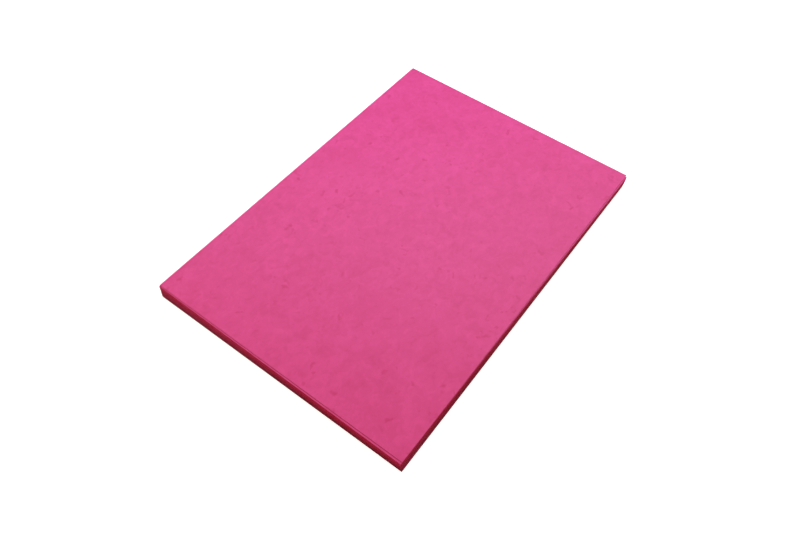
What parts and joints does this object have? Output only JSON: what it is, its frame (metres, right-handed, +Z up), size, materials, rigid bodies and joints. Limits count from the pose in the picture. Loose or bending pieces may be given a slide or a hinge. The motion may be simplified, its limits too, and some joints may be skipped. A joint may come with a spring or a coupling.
{
  "type": "scoring board",
  "caption": "Loose stack of A4 sheets of stiff mottled pink pressboard, the kind that is scored and folded. Each sheet lies on the one beneath and lifts off.",
  "frame": {"origin": "on the table, under the middle of the stack's outline", "axes": "+X across the sheets to the right, +Y along their long edges to the back, +Z up out of the top face"},
  "size_m": [0.2114, 0.2987, 0.0113],
  "materials": {
    "pressboard": "satin"
  },
  "bodies": {
    "sheet_01": {"sheet_01": "pressboard"},
    "sheet_02": {"sheet_02": "pressboard"},
    "sheet_03": {"sheet_03": "pressboard"},
    "sheet_04": {"sheet_04": "pressboard"},
    "sheet_05": {"sheet_05": "pressboard"},
    "sheet_06": {"sheet_06": "pressboard"},
    "sheet_07": {"sheet_07": "pressboard"},
    "sheet_08": {"sheet_08": "pressboard"},
    "sheet_09": {"sheet_09": "pressboard"},
    "sheet_10": {"sheet_10": "pressboard"},
    "sheet_11": {"sheet_11": "pressboard"},
    "sheet_12": {"sheet_12": "pressboard"},
    "sheet_13": {"sheet_13": "pressboard"},
    "sheet_14": {"sheet_14": "pressboard"},
    "sheet_15": {"sheet_15": "pressboard"},
    "sheet_16": {"sheet_16": "pressboard"},
    "sheet_17": {"sheet_17": "pressboard"},
    "sheet_18": {"sheet_18": "pressboard"},
    "sheet_19": {"sheet_19": "pressboard"},
    "sheet_20": {"sheet_20": "pressboard"},
    "sheet_21": {"sheet_21": "pressboard"},
    "sheet_22": {"sheet_22": "pressboard"},
    "sheet_23": {"sheet_23": "pressboard"},
    "sheet_24": {"sheet_24": "pressboard"},
    "sheet_25": {"sheet_25": "pressboard"}
  },
  "joints": [
    {"name": "lift_02", "type": "slide", "parent": "sheet_01", "child": "sheet_02", "axis": [0, 0, 1], "range_m": [0, 0.015]},
    {"name": "lift_03", "type": "slide", "parent": "sheet_02", "child": "sheet_03", "axis": [0, 0, 1], "range_m": [0, 0.015]},
    {"name": "lift_04", "type": "slide", "parent": "sheet_03", "child": "sheet_04", "axis": [0, 0, 1], "range_m": [0, 0.015]},
    {"name": "lift_05", "type": "slide", "parent": "sheet_04", "child": "sheet_05", "axis": [0, 0, 1], "range_m": [0, 0.015]},
    {"name": "lift_06", "type": "slide", "parent": "sheet_05", "child": "sheet_06", "axis": [0, 0, 1], "range_m": [0, 0.015]},
    {"name": "lift_07", "type": "slide", "parent": "sheet_06", "child": "sheet_07", "axis": [0, 0, 1], "range_m": [0, 0.015]},
    {"name": "lift_08", "type": "slide", "parent": "sheet_07", "child": "sheet_08", "axis": [0, 0, 1], "range_m": [0, 0.015]},
    {"name": "lift_09", "type": "slide", "parent": "sheet_08", "child": "sheet_09", "axis": [0, 0, 1], "range_m": [0, 0.015]},
    {"name": "lift_10", "type": "slide", "parent": "sheet_09", "child": "sheet_10", "axis": [0, 0, 1], "range_m": [0, 0.015]},
    {"name": "lift_11", "type": "slide", "parent": "sheet_10", "child": "sheet_11", "axis": [0, 0, 1], "range_m": [0, 0.015]},
    {"name": "lift_12", "type": "slide", "parent": "sheet_11", "child": "sheet_12", "axis": [0, 0, 1], "range_m": [0, 0.015]},
    {"name": "lift_13", "type": "slide", "parent": "sheet_12", "child": "sheet_13", "axis": [0, 0, 1], "range_m": [0, 0.015]},
    {"name": "lift_14", "type": "slide", "parent": "sheet_13", "child": "sheet_14", "axis": [0, 0, 1], "range_m": [0, 0.015]},
    {"name": "lift_15", "type": "slide", "parent": "sheet_14", "child": "sheet_15", "axis": [0, 0, 1], "range_m": [0, 0.015]},
    {"name": "lift_16", "type": "slide", "parent": "sheet_15", "child": "sheet_16", "axis": [0, 0, 1], "range_m": [0, 0.015]},
    {"name": "lift_17", "type": "slide", "parent": "sheet_16", "child": "sheet_17", "axis": [0, 0, 1], "range_m": [0, 0.015]},
    {"name": "lift_18", "type": "slide", "parent": "sheet_17", "child": "sheet_18", "axis": [0, 0, 1], "range_m": [0, 0.015]},
    {"name": "lift_19", "type": "slide", "parent": "sheet_18", "child": "sheet_19", "axis": [0, 0, 1], "range_m": [0, 0.015]},
    {"name": "lift_20", "type": "slide", "parent": "sheet_19", "child": "sheet_20", "axis": [0, 0, 1], "range_m": [0, 0.015]},
    {"name": "lift_21", "type": "slide", "parent": "sheet_20", "child": "sheet_21", "axis": [0, 0, 1], "range_m": [0, 0.015]},
    {"name": "lift_22", "type": "slide", "parent": "sheet_21", "child": "sheet_22", "axis": [0, 0, 1], "range_m": [0, 0.015]},
    {"name": "lift_23", "type": "slide", "parent": "sheet_22", "child": "sheet_23", "axis": [0, 0, 1], "range_m": [0, 0.015]},
    {"name": "lift_24", "type": "slide", "parent": "sheet_23", "child": "sheet_24", "axis": [0, 0, 1], "range_m": [0, 0.015]},
    {"name": "lift_25", "type": "slide", "parent": "sheet_24", "child": "sheet_25", "axis": [0, 0, 1], "range_m": [0, 0.015]}
  ]
}
